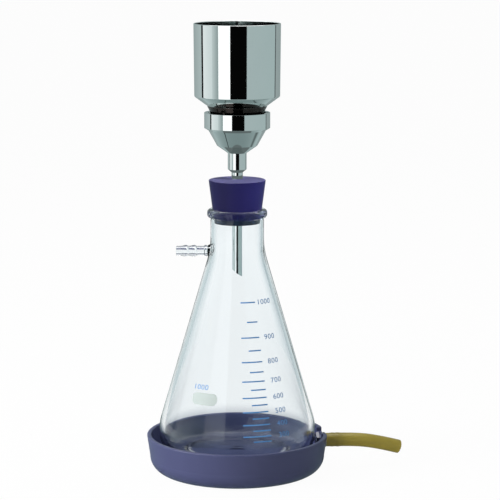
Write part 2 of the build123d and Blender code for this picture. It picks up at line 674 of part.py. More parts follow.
def make_support_screen():
    """The drilled disc that carries the filter: a middle hole and rings of six, twelve and on."""
    disc = tube(DISC_RADIUS, SCREEN_HOLE_RADIUS, SCREEN_BOTTOM, SCREEN_TOP)
    middle = (SCREEN_TOP + SCREEN_BOTTOM) / 2
    drill = Cylinder(SCREEN_HOLE_RADIUS, 2 * SCREEN_THICKNESS)
    for ring in range(1, SCREEN_RINGS + 1):
        disc -= Pos(0, 0, middle) * PolarLocations(ring * SCREEN_PITCH, 6 * ring) * drill
    return disc


# ---- Funnel ----


def cone_level(radius):
    """The level of the underside of the cup's cone at a radius."""
    slope = CUP_CONE_RISE / (CUP_FLOOR_RADIUS - SKIRT_RADIUS)
    return CONE_EDGE + (radius - SKIRT_RADIUS) * slope


def make_funnel_cup():
    """The spun cup: a straight wall with a slight taper, and a conical floor open in the middle."""
    slope = CUP_CONE_RISE / (CUP_FLOOR_RADIUS - SKIRT_RADIUS)
    cone_rise = CUP_WALL * math.sqrt(1 + slope**2)
    inner_floor = CUP_FLOOR_RADIUS - CUP_WALL
    outline = [
        (THROAT_RADIUS, cone_level(THROAT_RADIUS)),
        (CUP_FLOOR_RADIUS, CUP_STRAIGHT_FOOT),
        (CUP_RIM_RADIUS, CUP_RIM),
        (CUP_RIM_RADIUS - CUP_WALL, CUP_RIM),
        (inner_floor, cone_level(inner_floor) + cone_rise),
        (THROAT_RADIUS, cone_level(THROAT_RADIUS) + cone_rise),
    ]
    rounds = [
        ((CUP_FLOOR_RADIUS, CUP_STRAIGHT_FOOT), CUP_CORNER_ROUND),
        ((inner_floor, cone_level(inner_floor) + cone_rise), CUP_CORNER_ROUND - CUP_WALL),
        ((CUP_RIM_RADIUS, CUP_RIM), CUP_RIM_ROUND),
        ((CUP_RIM_RADIUS - CUP_WALL, CUP_RIM), CUP_RIM_ROUND),
    ]
    return turned(outline, rounds)


def make_funnel_foot():
    """The turned foot brazed under the cup: a flared skirt, a pilot flange and a seal groove."""
    skirt_foot = CONE_EDGE - SKIRT_HEIGHT
    seal_groove_top = FOOT_BOTTOM + 2 * SEAL_SECTION - SEAL_STANDS_PROUD
    outline = [
        (THROAT_RADIUS, FOOT_BOTTOM),
        (SEAL_RADIUS - SEAL_GROOVE_HALF_WIDTH, FOOT_BOTTOM),
        (SEAL_RADIUS - SEAL_GROOVE_HALF_WIDTH, seal_groove_top),
        (SEAL_RADIUS + SEAL_GROOVE_HALF_WIDTH, seal_groove_top),
        (SEAL_RADIUS + SEAL_GROOVE_HALF_WIDTH, FOOT_BOTTOM),
        (FOOT_FLANGE_RADIUS, FOOT_BOTTOM),
        (FOOT_FLANGE_RADIUS, FOOT_FLANGE_TOP),
        (FOOT_RADIUS, FOOT_FLANGE_TOP),
        (FOOT_RADIUS, skirt_foot),
        (SKIRT_RADIUS, CONE_EDGE - SKIRT_LAND),
        (SKIRT_RADIUS, CONE_EDGE - BRAZE_CLEARANCE),
        (THROAT_RADIUS, cone_level(THROAT_RADIUS) - BRAZE_CLEARANCE),
    ]
    foot = turned(outline)
    return foot - [pin_hole(angle) for angle in pin_angles()]


def pin_hole(angle):
    """The blind hole in the foot that a lock pin is pressed into."""
    depth = FOOT_RADIUS - PIN_SEAT_RADIUS + CUT_SPARE
    drill = Rot(90, 0, 0) * Cylinder(PIN_RADIUS, depth)
    return facing(angle) * Pos(0, -PIN_SEAT_RADIUS - depth / 2, PIN_LEVEL) * drill


def make_lock_pins():
    """The three pins pressed into the foot, each with a broken outer edge."""
    length = PIN_END_RADIUS - PIN_SEAT_RADIUS
    blank = Rot(90, 0, 0) * Cylinder(PIN_RADIUS, length)
    pin = chamfer(blank.edges().sort_by(Axis.Y)[0], PIN_BREAK)
    middle = PIN_SEAT_RADIUS + length / 2
    return Compound(children=[facing(angle) * Pos(0, -middle, PIN_LEVEL) * pin for angle in pin_angles()])


def make_funnel_seal():
    """The round seal held in the foot's groove, standing a little proud of it."""
    level = FOOT_BOTTOM + SEAL_SECTION - SEAL_STANDS_PROUD
    return Pos(0, 0, level) * Torus(SEAL_RADIUS, SEAL_SECTION)


PARTS = {
    "tray": make_tray,
    "outlet_nozzle": make_outlet_nozzle,
    "outlet_nut": make_outlet_nut,
    "outlet_washer": make_outlet_washer,
    "hose": make_hose,
    "flask": make_flask,
    "scale_marks": make_scale_marks,
    "marking_spot": make_marking_spot,
    "stopper": make_stopper,
    "stem_tube": make_stem_tube,
    "support_base": make_support_base,
    "screen_ring": make_screen_ring,
    "support_screen": make_support_screen,
    "funnel_seal": make_funnel_seal,
    "lock_pins": make_lock_pins,
    "funnel_foot": make_funnel_foot,
    "funnel_cup": make_funnel_cup,
}

os.makedirs("parts", exist_ok=True)
for name, make in PARTS.items():
    export_step(make(), f"parts/{name}.step")
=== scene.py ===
"""Looks of the vacuum filtration unit: finishes, hose, numbers on the glass and studio."""

import json
import logging
import math
from dataclasses import dataclass
from enum import Enum
from typing import Any, ClassVar, Iterable, Protocol, Sequence, Union

import bpy
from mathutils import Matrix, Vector

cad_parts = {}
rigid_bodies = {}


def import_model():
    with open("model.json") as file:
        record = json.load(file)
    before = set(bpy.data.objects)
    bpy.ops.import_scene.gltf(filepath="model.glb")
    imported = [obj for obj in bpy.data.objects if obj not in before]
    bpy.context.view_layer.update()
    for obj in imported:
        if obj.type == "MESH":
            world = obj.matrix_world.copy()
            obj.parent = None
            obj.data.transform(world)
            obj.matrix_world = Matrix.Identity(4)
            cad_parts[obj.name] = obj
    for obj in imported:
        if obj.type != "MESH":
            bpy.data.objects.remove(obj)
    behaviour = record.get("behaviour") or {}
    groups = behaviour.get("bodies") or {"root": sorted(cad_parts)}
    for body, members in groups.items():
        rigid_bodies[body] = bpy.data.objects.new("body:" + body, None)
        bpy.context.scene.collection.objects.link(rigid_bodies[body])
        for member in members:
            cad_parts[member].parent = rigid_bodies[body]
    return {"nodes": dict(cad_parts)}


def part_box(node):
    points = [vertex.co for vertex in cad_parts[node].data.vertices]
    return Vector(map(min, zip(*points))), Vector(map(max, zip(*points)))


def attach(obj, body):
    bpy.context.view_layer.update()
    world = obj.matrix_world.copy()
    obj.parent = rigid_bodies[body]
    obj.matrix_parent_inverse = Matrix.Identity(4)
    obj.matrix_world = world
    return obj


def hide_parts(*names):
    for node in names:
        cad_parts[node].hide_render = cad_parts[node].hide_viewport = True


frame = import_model()

LOG = logging.getLogger("filtration_unit")
MM = 0.001
OUT_OF_REACH = 10.0         # a level that nothing comes near, in metres
STAND = "stand"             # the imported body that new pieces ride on

FLASK_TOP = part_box("flask")[1][2]
STOPPER_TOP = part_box("stopper")[1][2]
GRIP_LEVEL = FLASK_TOP - 6.8 * MM       # under the rolled lip
NECK_SHADE_LEVEL = FLASK_TOP - 4.5 * MM       # painted shade: below this the stopper's colour is darkened for the shade inside the neck

Triple = tuple[float, float, float]
Number = Union[float, "Value"]


class Seen(Enum):
    """Which rays show a reflector card."""

    IN_STEEL = "in_steel"
    IN_GLASS = "in_glass"
    IN_BOTH = "in_both"


class Slot(Enum):
    """The record's material slots that new pieces use."""

    BLUE_ENAMEL = "blue_enamel"
    HOSE_RUBBER = "hose_rubber"


# ---- Shader graphs ----


# The Mix node's sockets for colours go by number, because its kinds share their names.
MIX_SHARE, MIX_FIRST, MIX_SECOND, MIX_RESULT = 0, 6, 7, 2


class Value:
    """A shader socket that adds Math nodes when it is used in arithmetic."""

    def __init__(self, graph: "Graph", socket: bpy.types.NodeSocket) -> None:
        """Wrap a socket.

        Args:
            graph: The graph that new nodes are added to.
            socket: The output socket that holds the value.
        """
        self.graph = graph
        self.socket = socket

    def math(self, operation: str, *others: Number, swap: bool = False) -> "Value":
        """Add a Math node.

        Args:
            operation: Blender's name of the operation.
            others: The other operands.
            swap: Whether this value comes last.

        Returns:
            The result.
        """
        operands = [*others, self] if swap else [self, *others]
        return self.graph.node("ShaderNodeMath", {"operation": operation}, dict(enumerate(operands)))

    def __add__(self, other: Number) -> "Value":
        """Return the sum."""
        return self.math("ADD", other)

    def __radd__(self, other: Number) -> "Value":
        """Return the sum, with this value last."""
        return self.math("ADD", other, swap=True)

    def __sub__(self, other: Number) -> "Value":
        """Return the difference."""
        return self.math("SUBTRACT", other)

    def __rsub__(self, other: Number) -> "Value":
        """Return the difference, with this value last."""
        return self.math("SUBTRACT", other, swap=True)

    def __mul__(self, other: Number) -> "Value":
        """Return the product."""
        return self.math("MULTIPLY", other)

    def __rmul__(self, other: Number) -> "Value":
        """Return the product, with this value last."""
        return self.math("MULTIPLY", other, swap=True)

    def within(self, low: float, high: float, blur: float) -> "Value":
        """Return 1 between two limits and 0 outside them, with soft ends.

        Args:
            low: The lower limit.
            high: The upper limit.
            blur: The width of each soft end.

        Returns:
            The band.
        """
        return self.ramp(low - blur / 2, low + blur / 2) * self.ramp(high + blur / 2, high - blur / 2)

    def ramp(self, start: float, end: float) -> "Value":
        """Return 0 before the start, 1 after the end and a smooth step between them."""
        inputs = {"Value": self, "From Min": start, "From Max": end}
        return self.graph.node("ShaderNodeMapRange", {"interpolation_type": "SMOOTHSTEP"}, inputs)


class Graph:
    """The node tree of one material, started empty."""

    def __init__(self, name: str) -> None:
        """Start a material.

        Args:
            name: The material's name.
        """
        self.material = bpy.data.materials.new(name)
        self.material.use_nodes = True
        self.tree = self.material.node_tree
        self.tree.nodes.clear()

    def node(
        self,
        kind: str,
        settings: dict[str, Any] | None = None,
        inputs: dict[Any, Any] | None = None,
        output: int | str = 0,
    ) -> Value:
        """Add a node.

        Args:
            kind: The node's type.
            settings: The node's own settings.
            inputs: A value or a link for each named socket.
            output: The socket to return.

        Returns:
            The chosen output.
        """
        made = self.tree.nodes.new(kind)
        for key, setting in (settings or {}).items():
            setattr(made, key, setting)
        for key, value in (inputs or {}).items():
            if isinstance(value, Value):
                self.tree.links.new(value.socket, made.inputs[key])
            else:
                made.inputs[key].default_value = value
        return Value(self, made.outputs[output])

    def place(self) -> Value:
        """Return the Object coordinates."""
        return self.node("ShaderNodeTexCoord", output="Object")

    def coordinate(self, axis: str) -> Value:
        """Return one Object coordinate, named X, Y or Z, in metres."""
        return self.node("ShaderNodeSeparateXYZ", inputs={"Vector": self.place()}, output=axis)

    def away(self) -> Value:
        """Return the distance from the unit's upright axis, in metres."""
        across, forward = self.coordinate("X"), self.coordinate("Y")
        return (across * across + forward * forward).math("SQRT")

    def noise(self, scale: float, detail: float = 2.0, stretch: Triple = (1.0, 1.0, 1.0)) -> Value:
        """Add smooth noise on Object coordinates.

        Args:
            scale: Cells to the metre.
            detail: How many finer layers it has.
            stretch: The scale along each axis.

        Returns:
            The noise, from 0 to 1.
        """
        placed = self.node("ShaderNodeMapping", inputs={"Vector": self.place(), "Scale": stretch})
        inputs = {"Vector": placed, "Scale": scale, "Detail": detail}
        return self.node("ShaderNodeTexNoise", inputs=inputs)

    def mix(self, share: Number, first: Any, second: Any) -> Value:
        """Blend two colours.

        Args:
            share: How much of the second.
            first: A colour or a link.
            second: A colour or a link.

        Returns:
            The blend.
        """
        inputs = {MIX_SHARE: share, MIX_FIRST: opaque(first), MIX_SECOND: opaque(second)}
        return self.node("ShaderNodeMix", {"data_type": "RGBA"}, inputs, output=MIX_RESULT)

    def bump(self, height: Value) -> Value:
        """Turn a height field, in metres, into a normal."""
        inputs = {"Height": height, "Strength": 1.0, "Distance": 1.0}
        return self.node("ShaderNodeBump", inputs=inputs)

    def shader(self, inputs: dict[str, Any]) -> Value:
        """Add the main shader with the given sockets."""
        return self.node("ShaderNodeBsdfPrincipled", inputs=inputs)

    def blend(self, share: Value, first: Value, second: Value) -> Value:
        """Blend two shaders.

        Args:
            share: How much of the second.
            first: A shader.
            second: A shader.

        Returns:
            The blend.
        """
        return self.node("ShaderNodeMixShader", inputs={0: share, 1: first, 2: second})

    def clear(self, colour: Triple) -> Value:
        """Add a shader that lets light straight through, tinted."""
        return self.node("ShaderNodeBsdfTransparent", inputs={"Color": opaque(colour)})

    def glow(self, colour: Any) -> Value:
        """Add an emission of a colour or a link."""
        return self.node("ShaderNodeEmission", inputs={"Color": opaque(colour)})

    def ray(self, kind: str) -> Value:
        """Return 1 for a kind of ray, such as Camera."""
        return self.node("ShaderNodeLightPath", output=f"Is {kind} Ray")

    def finish(self, surface: Value) -> bpy.types.Material:
        """Join a shader to the output.

        Args:
            surface: The shader.

        Returns:
            The finished material.
        """
        output = self.tree.nodes.new("ShaderNodeOutputMaterial")
        self.tree.links.new(surface.socket, output.inputs["Surface"])
        return self.material


def opaque(colour: Any) -> Any:
    """Return a colour with full alpha, or a link as it is."""
    return colour if isinstance(colour, Value) else (*colour, 1.0)


def shaded(colour: Triple, share: float) -> Triple:
    """Return a colour made darker or lighter by a share."""
    return tuple(share * part for part in colour)


# ---- Finishes ----


class Finish(Protocol):
    """Anything that can make a material under a name of its own."""

    name: str

    def material(self) -> bpy.types.Material:
        """Return the material."""


@dataclass(frozen=True)
class Steel:
    """Stainless steel, from mirror polish to satin.

    Attributes:
        name: The finish's name.
        tint: The metal's colour.
        polish: Roughness at its smoothest.
        haze: Roughness added where the polish is dull.
        dullness: Share of the tint that is left where the polish is dull.
        waviness: Height of the slow waves that the polishing wheel leaves, in metres.
        turning: Height of the fine rings that the lathe leaves, in metres.
    """

    name: str
    tint: Triple = (0.8, 0.835, 0.83)
    polish: float = 0.025
    haze: float = 0.07
    dullness: float = 0.95
    waviness: float = 4e-5
    turning: float = 0.0

    def material(self) -> bpy.types.Material:
        """Return the material."""
        graph = Graph(self.name)
        dull = graph.noise(scale=60.0, detail=4.0)
        rings = graph.noise(scale=2600.0, detail=1.0, stretch=(0.004, 0.004, 1.0))
        waves = graph.noise(scale=26.0, detail=0.0)
        height = waves * self.waviness + rings * self.turning
        inputs = {
            "Base Color": graph.mix(dull, self.tint, shaded(self.tint, self.dullness)),
            "Metallic": 1.0,
            "Roughness": self.polish + self.haze * dull * rings,
            "Normal": graph.bump(height),
        }
        return graph.finish(graph.shader(inputs))


@dataclass(frozen=True)
class Glass:
    """Clear laboratory glass that lets the lamps through.

    Attributes:
        name: The finish's name.
        tint: The glass's faint colour.
        bend: How strongly it bends light.
        ripple: Height of the ripples left by blowing, in metres.
        mirror: Tint of its reflections.
        shade: Share of a lamp's light that each of its faces lets through.
        grip: Share of the light that passes straight between the bore and the stopper.
        grip_level: Level above which the bore lies against the stopper, in metres.
        grip_fade: Height over which that begins.
        bore_radius: Distance from the axis within which a face is the bore, in metres.
        bore_fade: Width over which the bore's faces end.
    """

    name: str
    tint: Triple = (0.945, 0.972, 0.983)
    bend: float = 1.474
    ripple: float = 6e-5
    mirror: Triple = (0.45, 0.47, 0.5)
    shade: float = 0.62
    grip: float = 0.6
    grip_level: float = OUT_OF_REACH
    grip_fade: float = 1.0 * MM
    bore_radius: float = 20.8 * MM
    bore_fade: float = 0.4 * MM

    def material(self) -> bpy.types.Material:
        """Return the material."""
        graph = Graph(self.name)
        blown = graph.noise(scale=22.0, detail=1.0, stretch=(1.0, 1.0, 0.4)) * self.ripple
        inputs = {
            "Base Color": opaque(self.tint),
            "Roughness": 0.0,
            "IOR": self.bend,
            "Transmission Weight": 1.0,
            "Specular Tint": opaque(self.mirror),
            "Normal": graph.bump(blown),
        }
        bore = graph.away().ramp(self.bore_radius, self.bore_radius - self.bore_fade)
        lip = graph.coordinate("Z").ramp(self.grip_level - self.grip_fade, self.grip_level)
        body = graph.blend(lip * bore * self.grip, graph.shader(inputs), graph.clear(self.tint))
        lamplit = graph.clear(shaded(self.tint, self.shade))
        return graph.finish(graph.blend(graph.ray("Shadow"), body, lamplit))


@dataclass(frozen=True)
class Rubber:
    """Moulded rubber or soft plastic with a fine skin, which can carry painted light on its upper faces
    and painted shade on its lower end.

    Attributes:
        name: The finish's name.
        colour: Its main colour.
        worn: The colour that it turns to in patches.
        bloom: The lighter colour painted on its upper faces, a painted highlight for the overhead light.
        bloom_level: Level above which the painted highlight shows, in metres.
        bloom_fade: Height over which the painted highlight begins.
        damp: The darker colour painted on its lower end, a painted shade for the shade inside the
            flask's neck.
        damp_level: Level below which it has that painted shade, in metres.
        damp_fade: Height over which the painted shade begins.
        roughness: Its middle roughness.
        patchiness: How far the roughness strays either way.
        grain: Height of the skin's grain, in metres.
        coat: Strength of the clear skin.
        coat_roughness: Roughness of the clear skin.
        shine: Level of the plain reflection, 0.5 for ordinary plastic.
    """

    name: str
    colour: Triple
    worn: Triple
    bloom: Triple = (0.0, 0.0, 0.0)
    bloom_level: float = OUT_OF_REACH
    bloom_fade: float = 0.3 * MM
    damp: Triple = (0.0, 0.0, 0.0)
    damp_level: float = -OUT_OF_REACH
    damp_fade: float = 2.0 * MM
    roughness: float = 0.42
    patchiness: float = 0.06
    grain: float = 1e-5
    coat: float = 0.0
    coat_roughness: float = 0.25
    shine: float = 0.5

    def material(self) -> bpy.types.Material:
        """Return the material."""
        graph = Graph(self.name)
        patches = graph.noise(scale=35.0, detail=3.0)
        skin = graph.noise(scale=1400.0) * self.grain
        body = graph.mix(patches, self.colour, self.worn)
        height = graph.coordinate("Z")
        # painted shade: the lower end is made darker to stand in for the shade inside the neck
        foot = height.ramp(self.damp_level, self.damp_level - self.damp_fade)
        # painted highlight: the upper faces are made lighter to stand in for the overhead light
        top = height.ramp(self.bloom_level - self.bloom_fade, self.bloom_level)
        inputs = {
            "Base Color": graph.mix(top, graph.mix(foot, body, self.damp), self.bloom),
            "Roughness": self.roughness + self.patchiness * (2.0 * patches - 1.0),
            "Normal": graph.bump(skin),
            "Coat Weight": self.coat,
            "Coat Roughness": self.coat_roughness,
            "Specular IOR Level": self.shine,
        }
        return graph.finish(graph.shader(inputs))


@dataclass(frozen=True)
class Hosing:
    """Translucent amber rubber, darker where the nozzle is inside it.

    Attributes:
        name: The finish's name.
        colour: The bare hose's colour.
        filled: Its colour over the nozzle.
        root: Distance of the hose's root from the unit's axis, in metres.
        nozzle: How far the nozzle reaches into it, in metres.
        fade_before: Where the darker colour begins to end, before the nozzle's tip.
        fade_after: Where it has ended, after the nozzle's tip.
        bare_cloud: Share of the bare colour that is left in the clouds.
        filled_cloud: Share of the other colour that is left in them.
        grain: Height of the skin's grain, in metres.
        lumps: Height of the slow lumps, in metres.
        roughness: Its least roughness.
        haze: Roughness added in the clouds.
        coat: Strength of the clear skin.
        coat_roughness: Roughness of the clear skin.
    """

    name: str
    colour: Triple
    filled: Triple
    root: float
    nozzle: float = 12.5 * MM
    fade_before: float = 4.0 * MM
    fade_after: float = 9.0 * MM
    bare_cloud: float = 0.86
    filled_cloud: float = 0.8
    grain: float = 8e-6
    lumps: float = 5e-5
    roughness: float = 0.26
    haze: float = 0.16
    coat: float = 0.25
    coat_roughness: float = 0.2

    def material(self) -> bpy.types.Material:
        """Return the material."""
        graph = Graph(self.name)
        cloud = graph.noise(scale=90.0, detail=3.0)
        bare = graph.mix(cloud, self.colour, shaded(self.colour, self.bare_cloud))
        filled = graph.mix(cloud, self.filled, shaded(self.filled, self.filled_cloud))
        tip = self.root + self.nozzle
        past_tip = graph.coordinate("X").ramp(tip - self.fade_before, tip + self.fade_after)
        height = graph.noise(scale=1100.0) * self.grain + cloud * self.lumps
        inputs = {
            "Base Color": graph.mix(past_tip, filled, bare),
            "Roughness": self.roughness + self.haze * cloud,
            "Normal": graph.bump(height),
            "Coat Weight": self.coat,
            "Coat Roughness": self.coat_roughness,
        }
        return graph.finish(graph.shader(inputs))


@dataclass(frozen=True)
class Enamel:
    """Print fired on the glass.

    Attributes:
        name: The finish's name.
        colour: Its colour where it is thick.
        thin: Its colour where it is thin.
        roughness: Its least roughness.
        haze: Roughness added in specks.
    """

    name: str
    colour: Triple
    thin: Triple
    roughness: float = 0.5
    haze: float = 0.15

    def material(self) -> bpy.types.Material:
        """Return the material."""
        graph = Graph(self.name)
        inputs = {
            "Base Color": graph.mix(graph.noise(scale=700.0), self.colour, self.thin),
            "Roughness": self.roughness + self.haze * graph.noise(scale=2500.0),
        }
        return graph.finish(graph.shader(inputs))


class Paintbox:
    """Makes each finish's material once."""

    def __init__(self) -> None:
        """Start with no materials."""
        self.made: dict[str, bpy.types.Material] = {}

    def dress(self, piece: bpy.types.Object, finish: Finish) -> None:
        """Give a piece a finish.

        Args:
            piece: The object.
            finish: The finish.
        """
        if finish.name not in self.made:
            self.made[finish.name] = finish.material()
        piece.data.materials.clear()
        piece.data.materials.append(self.made[finish.name])
        LOG.info("%s: %s", piece.name, finish.name)


# ---- Shared steps ----


def deselect() -> None:
    """Leave nothing selected, so that an operator acts on its own piece alone."""
    for other in bpy.context.view_layer.objects:
        other.select_set(False)
    bpy.context.view_layer.objects.active = None


def select(piece: bpy.types.Object) -> None:
    """Select one piece and make it active."""
    deselect()
    piece.select_set(True)
    bpy.context.view_layer.objects.active = piece


def turn_outward(piece: bpy.types.Object) -> None:
    """Make a piece's normals point outwards."""
    select(piece)
    bpy.ops.object.mode_set(mode="EDIT")
    bpy.ops.mesh.select_all(action="SELECT")
    bpy.ops.mesh.normals_make_consistent(inside=False)
    bpy.ops.object.mode_set(mode="OBJECT")


def settle(piece: bpy.types.Object) -> None:
    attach(piece, STAND)


class Assembly:
    """A part of the unit that the CAD model carries whole."""

    finishes: ClassVar[dict[str, Finish]] = {}

    def dress(self, paints: Paintbox) -> None:
        """Give each of its CAD nodes a finish.

        Args:
            paints: The paintbox.
        """
        for node, finish in self.finishes.items():
            paints.dress(frame["nodes"][node], finish)

    def build(self, paints: Paintbox) -> None:
        """Add what the CAD model leaves out: nothing, unless a part says otherwise.

        Args:
            paints: The paintbox.
        """


POLISHED = Steel("polished_steel")
BRIGHT = Steel("turned_steel", polish=0.05, haze=0.08, turning=1.2e-6)
# painted shade: the funnel foot's steel is darkened almost to black to stand in for the shade under its
# skirt and inside the collar
SHADE_PAINTED_STEEL = Steel("shade_painted_steel", tint=(0.045, 0.035, 0.033), polish=0.08, haze=0.1, turning=1.2e-6)
WHITE_SEAL = Rubber("white_seal", (0.75, 0.75, 0.72), (0.7, 0.7, 0.67), roughness=0.45)
BLUE_PRINT = Enamel("blue_enamel", (0.085, 0.29, 0.65), (0.1, 0.32, 0.7))


# ---- Tray and outlet ----


class Tray(Assembly):
    """The moulded tray."""

    finishes = {
        "tray": Rubber(
            "tray_plastic",
            colour=(0.07, 0.078, 0.178),
            worn=(0.08, 0.087, 0.193),
            roughness=0.4,
            coat=0.25,
            shine=0.25,
        ),
    }


class Outlet(Assembly):
    """The nozzle through the tray's wall, its nut and its washer."""

    finishes = {
        "outlet_nozzle": Steel("nozzle_metal", (0.5, 0.5, 0.52), polish=0.2, haze=0.1, turning=2e-6),
        "outlet_nut": Steel("nut_metal", (0.14, 0.14, 0.16), polish=0.22, haze=0.1),
        "outlet_washer": Rubber("black_rubber", (0.02, 0.02, 0.02), (0.03, 0.03, 0.03), roughness=0.5),
    }


@dataclass
class Hose(Assembly):
    """The short hose pushed over the nozzle, drawn along the same route as its CAD tube.

    Attributes:
        route: The route's points.
        radius: Outside radius.
        bore: Inside radius.
        length: Real length of the hose, not used by the code.
        sides: Faces round the tube.
        steps: Steps that each stretch of the route is drawn with.
        order: How many of the route's points shape each stretch.
        sharp_angle: Angle in degrees past which an edge stays sharp.
        swells: Distance along the hose, rise and half length of each swelling over a barb.
    """

    route: Sequence[Triple] = (
        (0.074721, 0.009838, 0.0231),
        (0.096331, 0.012683, 0.0231),
        (0.11777, 0.01648, 0.0203),
        (0.13767, 0.02388, 0.0137),
    )
    radius: float = 5.75 * MM
    bore: float = 3.15 * MM
    length: float = 0.069
    sides: int = 64
    steps: int = 32
    order: int = 3
    sharp_angle: float = 40.0
    swells: Sequence[Triple] = (
        (6.0 * MM, 0.22 * MM, 3.0 * MM),
        (10.5 * MM, 0.26 * MM, 3.0 * MM),
    )

    def centre_line(self) -> list[Vector]:
        """Return close points along the smooth line that the route's points control."""
        curve = bpy.data.curves.new("hose_route", "CURVE")
        curve.dimensions = "3D"
        curve.resolution_u = self.steps
        spline = curve.splines.new("NURBS")
        spline.points.add(len(self.route) - 1)
        for point, place in zip(spline.points, self.route):
            point.co = opaque(place)
        spline.order_u = self.order
        spline.use_endpoint_u = True
        holder = bpy.data.objects.new("hose_route", curve)
        bpy.context.scene.collection.objects.link(holder)
        bpy.context.view_layer.update()
        line = bpy.data.meshes.new_from_object(holder)
        points = [vertex.co.copy() for vertex in line.vertices]
        bpy.data.objects.remove(holder)
        bpy.data.meshes.remove(line)
        return points

    def outside(self, distance: float) -> float:
        """Return the outside radius at a distance along the hose.

        Args:
            distance: The distance from the nozzle's flange.

        Returns:
            The radius.
        """
        rise = 0.0
        for centre, height, half in self.swells:
            share = min(abs(distance - centre) / half, 1.0)
            rise += height * 0.5 * (1.0 + math.cos(math.pi * share))
        return self.radius + rise

    def rings(self, points: Sequence[Vector]) -> list[Vector]:
        """Return the corners of the outer and the inner ring at each point.

        Args:
            points: The centre line.

        Returns:
            The corners, ring after ring.
        """
        corners = []
        walked = 0.0
        last = len(points) - 1
        for index, point in enumerate(points):
            walked += (point - points[max(index - 1, 0)]).length
            along = (points[min(index + 1, last)] - points[max(index - 1, 0)]).normalized()
            side = along.cross(Vector((0.0, 0.0, 1.0))).normalized()
            up = side.cross(along)
            for radius in (self.outside(walked), self.bore):
                for step in range(self.sides):
                    turn = 2 * math.pi * step / self.sides
                    corners.append(point + radius * (math.cos(turn) * side + math.sin(turn) * up))
        return corners

    def faces(self, count: int) -> list[list[int]]:
        """Return the faces of the walls and of the two cut ends.

        Args:
            count: How many points the centre line has.

        Returns:
            The faces, as corner numbers.
        """
        strips = [(2 * point, 2 * point + 2) for point in range(count - 1)]
        strips += [(2 * point + 1, 2 * point + 3) for point in range(count - 1)]
        strips += [(0, 1), (2 * count - 2, 2 * count - 1)]
        made = []
        for first, second in strips:
            for step in range(self.sides):
                beside = (step + 1) % self.sides
                made.append(
                    [
                        first * self.sides + step,
                        first * self.sides + beside,
                        second * self.sides + beside,
                        second * self.sides + step,
                    ]
                )
        return made

    def build(self, paints: Paintbox) -> None:
        """Args:
            paints: The paintbox.
        """
        points = self.centre_line()
        mesh = bpy.data.meshes.new("hose_tube")
        mesh.from_pydata(self.rings(points), [], self.faces(len(points)))
        hose = bpy.data.objects.new("hose_tube", mesh)
        bpy.context.scene.collection.objects.link(hose)
        turn_outward(hose)
        bpy.ops.object.shade_smooth_by_angle(angle=math.radians(self.sharp_angle))
        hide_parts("hose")
        settle(hose)
        finish = Hosing(
            "hose_rubber", colour=(0.56, 0.43, 0.046), filled=(0.39, 0.3, 0.034), root=self.route[0][0],
        )
        paints.dress(hose, finish)


# ---- Flask ----


